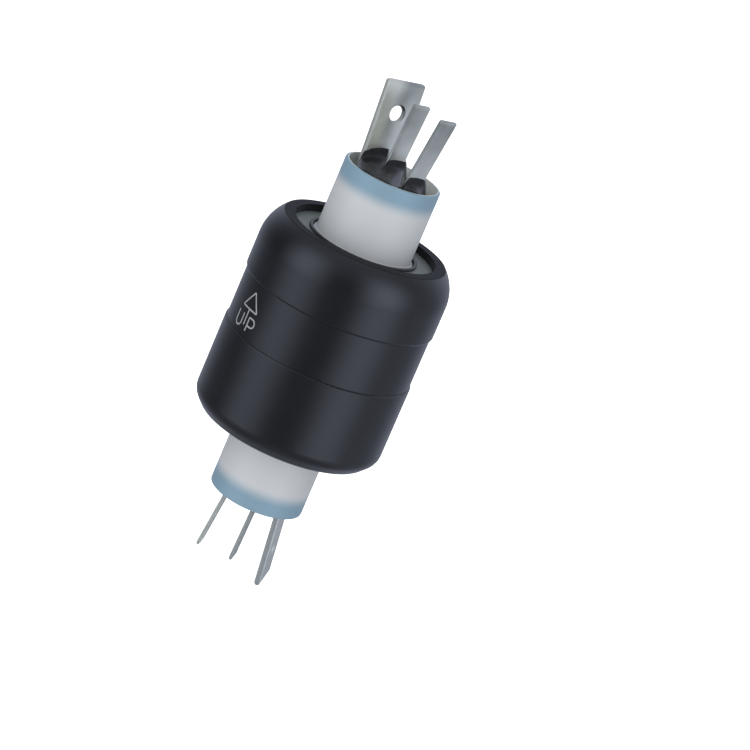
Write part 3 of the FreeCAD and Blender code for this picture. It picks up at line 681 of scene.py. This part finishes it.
makePottingPiece()
print("potting compound made")

# The print on the band: an outlined arrow head on a short stem, between the letters U and P.
# Strokes are flat (across, up) points in millimetres, with 0, 0 at the top of the arrow's stem.
printMark = {
    "turnDeg": -140.0, "midZ": 15.8, "lineMm": 0.2, "inkMm": 0.02, "cornerMm": 0.06, "stepMm": 0.12,
    "headW": 3.35, "headH": 2.3, "headFoot": 0.15, "stemFoot": -2.05,
    "letterTop": -0.7, "letterFoot": -2.6, "letterW": 1.3, "letterGap": 0.7,
    "curveSteps": 10, "cornerSteps": 3, "bowlShare": 0.3,
    "ink": (0.38, 0.395, 0.42), "wornShare": 0.8, "roughLow": 0.45, "roughHigh": 0.6,
    "cloudPerMetre": 2500.0,
}


def arcPoints(centre, radius, startDeg, endDeg):
    steps = printMark["curveSteps"]
    points = []
    for index in range(steps + 1):
        turn = math.radians(startDeg + (endDeg - startDeg) * index / steps)
        points.append((centre[0] + radius * math.cos(turn), centre[1] + radius * math.sin(turn)))
    return points


# Each stroke with whether it closes on itself
def markStrokes():
    mark = printMark
    half, foot = mark["headW"] / 2, mark["headFoot"]
    top, low, width = mark["letterTop"], mark["letterFoot"], mark["letterW"]
    left, right = -mark["letterGap"] - width, mark["letterGap"]
    curve = width / 2
    bowl = (top - low) * mark["bowlShare"]
    head = [(-half, foot), (half, foot), (0, foot + mark["headH"])]
    stem = [(0, foot), (0, mark["stemFoot"])]
    cup = arcPoints((left + curve, low + curve), curve, 180, 360)
    letterU = [(left, top), *cup, (left + width, top)]
    belly = arcPoints((right + width - bowl, top - bowl), bowl, 90, -90)
    letterP = [(right, low), (right, top), *belly, (right, top - 2 * bowl)]
    return [(head, True), (stem, False), (letterU, False), (letterP, False)]


# Sweeps a flat ink line along each stroke and wraps it round the band
def makePrintTree(values):
    tree, start, end = newTree("wrappedPrint", values)
    given = start.outputs
    strokes = addNode(tree, "GeometryNodeMeshToCurve")
    rounded = addNode(tree, "GeometryNodeFilletCurve", {"Limit Radius": True}, mode="POLY")
    even = addNode(tree, "GeometryNodeResampleCurve", mode="LENGTH")
    upright = addNode(tree, "GeometryNodeSetCurveNormal", mode="Z_UP")
    section = addNode(tree, "GeometryNodeCurvePrimitiveQuadrilateral")
    swept = addNode(tree, "GeometryNodeCurveToMesh", {"Fill Caps": True})
    link(tree, given["Geometry"], strokes.inputs["Mesh"])
    link(tree, strokes.outputs["Curve"], rounded.inputs["Curve"])
    link(tree, given["Corner"], rounded.inputs["Radius"])
    link(tree, given["Corner steps"], rounded.inputs["Count"])
    link(tree, rounded.outputs["Curve"], even.inputs["Curve"])
    link(tree, given["Step"], even.inputs["Length"])
    link(tree, even.outputs["Curve"], upright.inputs["Curve"])
    link(tree, given["Line width"], section.inputs["Width"])
    link(tree, given["Ink height"], section.inputs["Height"])
    link(tree, upright.outputs["Curve"], swept.inputs["Curve"])
    link(tree, section.outputs["Curve"], swept.inputs["Profile Curve"])
    axes = pointAxes(tree)
    bandR = given["Band radius"]
    turn = plus(tree, mathNode(tree, "DIVIDE", axes["X"], bandR), given["Turn"])
    reach = plus(tree, axes["Z"], bandR)
    x = times(tree, reach, mathNode(tree, "COSINE", turn))
    y = times(tree, reach, mathNode(tree, "SINE", turn))
    z = plus(tree, axes["Y"], given["Middle"])
    finishTree(tree, movePoints(tree, swept.outputs["Mesh"], x, y, z), start, end)
    return tree


def makeInk():
    ink = printMark["ink"]
    material, tree, shader = newMaterial("printInk")
    grain = placeGroup(tree, mouldGrain, {"Cloud per metre": printMark["cloudPerMetre"]})
    mask = grain.outputs["Mask"]
    worn = tuple(printMark["wornShare"] * channel for channel in ink)
    link(tree, tint(tree, mask, worn, ink), shader.inputs["Base Color"])
    rough = mixValues(tree, mask, printMark["roughLow"], printMark["roughHigh"])
    link(tree, rough, shader.inputs["Roughness"])
    return material


def makePrint():
    points, edges = [], []
    for stroke, isClosed in markStrokes():
        first = len(points)
        points += [(across, up, 0.0) for across, up in stroke]
        edges += [(index, index + 1) for index in range(first, len(points) - 1)]
        if isClosed:
            edges.append((len(points) - 1, first))
    flat = bpy.data.meshes.new("printStrokes")
    flat.from_pydata(points, edges, [])
    values = {
        "Line width": printMark["lineMm"], "Ink height": 2 * printMark["inkMm"],
        "Corner": printMark["cornerMm"], "Corner steps": printMark["cornerSteps"],
        "Step": printMark["stepMm"], "Band radius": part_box("barrel")[1].x / mm,
        "Turn": math.radians(printMark["turnDeg"]), "Middle": printMark["midZ"],
        "Material": makeInk(),
    }
    mark = grown("bandPrint", flat, makePrintTree(values), values)
    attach(mark, "housing")


makePrint()
print("print on the band made")

# Pale floor just under the object, with its size and gap in metres
studio = {
    "floorSize": 9.0, "floorGap": 0.00005, "floorColour": (0.88, 0.88, 0.885), "darkerShare": 0.98,
    "floorRough": 0.6, "floorGlow": 0.9, "cloudPerMetre": 3.0,
}


def makeFloor():
    half = studio["floorSize"] / 2
    level = cadBox[0][2] - studio["floorGap"]
    mesh = bpy.data.meshes.new("floor")
    corners = [(-half, -half, level), (half, -half, level), (half, half, level), (-half, half, level)]
    mesh.from_pydata(corners, [], [(0, 1, 2, 3)])
    floor = newObject("floor", mesh)
    colour = studio["floorColour"]
    darker = tuple(studio["darkerShare"] * channel for channel in colour)
    material, tree, shader = newMaterial("floorPaper", {
        "Roughness": studio["floorRough"], "Emission Color": (1, 1, 1, 1),
        "Emission Strength": studio["floorGlow"]})
    grain = placeGroup(tree, mouldGrain, {"Cloud per metre": studio["cloudPerMetre"]})
    link(tree, tint(tree, grain.outputs["Mask"], darker, colour), shader.inputs["Base Color"])
    mesh.materials.append(material)
    floor.visible_glossy = False
    floor.visible_diffuse = False


makeFloor()

view = {
    "aimMm": (8.017, 0.0, 12.068), "distanceMm": 473.9, "azimuthDeg": 1.0, "elevationDeg": 17.08,
    "rollDeg": 23.44, "lens": 176.1, "sensor": 36.0, "clipStartM": 0.01, "clipEndM": 50.0,
}


def aroundZ(degrees):
    return Matrix.Rotation(math.radians(degrees), 4, "Z")


def makeCamera():
    data = bpy.data.cameras.new("photoCamera")
    data.lens = view["lens"]
    data.sensor_width = view["sensor"]
    data.clip_start = view["clipStartM"]
    data.clip_end = view["clipEndM"]
    camera = newObject("photoCamera", data)
    swing = aroundZ(view["azimuthDeg"])
    rise = math.radians(view["elevationDeg"])
    back = Vector((0, -math.cos(rise), math.sin(rise))) * view["distanceMm"]
    place = swing @ ((Vector(view["aimMm"]) + back) * mm)
    tip = Matrix.Rotation(math.radians(90 - view["elevationDeg"]), 4, "X")
    camera.matrix_world = Matrix.Translation(place) @ swing @ tip @ aroundZ(view["rollDeg"])
    bpy.context.scene.camera = camera


makeCamera()

# Soft room light. Matt surfaces see an even room that is brighter in front; glossy ones also see
# two tall soft boxes beside the camera and a low one on the right, over walls whose brightness
# changes with height. A span is full within its first angle and gone at its second.
roomLight = {
    "mirrorTint": (0.87, 0.95, 1.18), "mattTint": (1.0, 1.0, 1.0), "backdrop": 1.0,
    "tallBoxes": {"turnDeg": 50, "turnSpanDeg": (3, 39), "heightDeg": 8, "heightSpanDeg": (6, 54),
                  "strength": 2.1},
    "leftBoxShare": 0.86,
    "lowBox": {"turnDeg": 90, "turnSpanDeg": (5, 40), "heightDeg": -5, "heightSpanDeg": (15, 50),
               "strength": 0.3},
    "frontWall": ((-90, 0.38), (-40, 0.3), (-17, 0.16), (10, 0.12), (30, 0.3), (60, 0.55), (90, 0.7)),
    "backWall": ((-90, 0.38), (-30, 0.5), (-5, 0.5), (10, 0.68), (40, 0.82), (90, 0.7)),
    "frontTurnDeg": -5, "frontSpanDeg": (95, 155),
    "mattEven": 0.62, "mattFront": 0.72, "mattTurnDeg": -5, "mattHeightDeg": 10,
}


def angleWindow(tree, angle, middleDeg, spanDeg):
    away = mathNode(tree, "ABSOLUTE", minus(tree, angle, math.radians(middleDeg)))
    return softFade(tree, away, math.radians(spanDeg[1]), math.radians(spanDeg[0]))


def softBox(tree, turn, height, box):
    across = angleWindow(tree, turn, box["turnDeg"], box["turnSpanDeg"])
    return times(tree, across, angleWindow(tree, height, box["heightDeg"], box["heightSpanDeg"]))


# Brightness of a wall over the height angle, from (degrees, brightness) stops
def wallBrightness(tree, height, stops):
    ramp = addNode(tree, "ShaderNodeValToRGB")
    ramp.color_ramp.interpolation = "CARDINAL"
    marks = ramp.color_ramp.elements
    while len(marks) < len(stops):
        marks.new(0.5)
    for mark, (degrees, brightness) in zip(marks, stops):
        mark.position = (degrees + 90) / 180
        mark.color = (brightness, brightness, brightness, 1)
    link(tree, evenFade(tree, height, -math.pi / 2, math.pi / 2), ramp.inputs["Fac"])
    return ramp.outputs["Color"]


def mirroredRoom(tree, turn, height):
    room = roomLight
    pair = softBox(tree, mathNode(tree, "ABSOLUTE", turn), height, room["tallBoxes"])
    share = mixValues(tree, above(tree, turn, 0.0), room["leftBoxShare"], 1.0)
    isFront = angleWindow(tree, turn, room["frontTurnDeg"], room["frontSpanDeg"])
    frontWall = wallBrightness(tree, height, room["frontWall"])
    backWall = wallBrightness(tree, height, room["backWall"])
    wall = mixValues(tree, isFront, backWall, frontWall)
    lit = mathNode(tree, "MULTIPLY_ADD", times(tree, pair, share), room["tallBoxes"]["strength"], wall)
    low = softBox(tree, turn, height, room["lowBox"])
    return mathNode(tree, "MULTIPLY_ADD", low, room["lowBox"]["strength"], lit)


def mattRoom(tree, direction):
    turn = math.radians(roomLight["mattTurnDeg"])
    rise = math.radians(roomLight["mattHeightDeg"])
    flat = math.cos(rise)
    front = addNode(tree, "ShaderNodeVectorMath", operation="DOT_PRODUCT")
    front.inputs[1].default_value = (flat * math.sin(turn), -flat * math.cos(turn), math.sin(rise))
    link(tree, direction, front.inputs[0])
    facing = mathNode(tree, "MAXIMUM", front.outputs["Value"], 0.0)
    return mathNode(tree, "MULTIPLY_ADD", facing, roomLight["mattFront"], roomLight["mattEven"])


def makeRoomLight():
    world = bpy.data.worlds.new("roomLight")
    world.use_nodes = True
    world.cycles.sampling_method = "NONE"
    tree = world.node_tree
    background = tree.nodes["Background"]
    direction = addNode(tree, "ShaderNodeTexCoord").outputs["Generated"]
    axes = axesOf(tree, direction)
    turn = mathNode(tree, "ARCTAN2", axes["X"], times(tree, axes["Y"], -1.0))
    height = mathNode(tree, "ARCSINE", axes["Z"])
    rays = addNode(tree, "ShaderNodeLightPath").outputs
    colour = tint(tree, rays["Is Glossy Ray"], roomLight["mattTint"], roomLight["mirrorTint"])
    link(tree, colour, background.inputs["Color"])
    matt = mattRoom(tree, direction)
    seen = mixValues(tree, rays["Is Glossy Ray"], matt, mirroredRoom(tree, turn, height))
    strength = mixValues(tree, rays["Is Camera Ray"], seen, roomLight["backdrop"])
    link(tree, strength, background.inputs["Strength"])
    bpy.context.scene.world = world
    bpy.context.scene.view_settings.view_transform = "Standard"


makeRoomLight()
print("camera, floor and lights set")
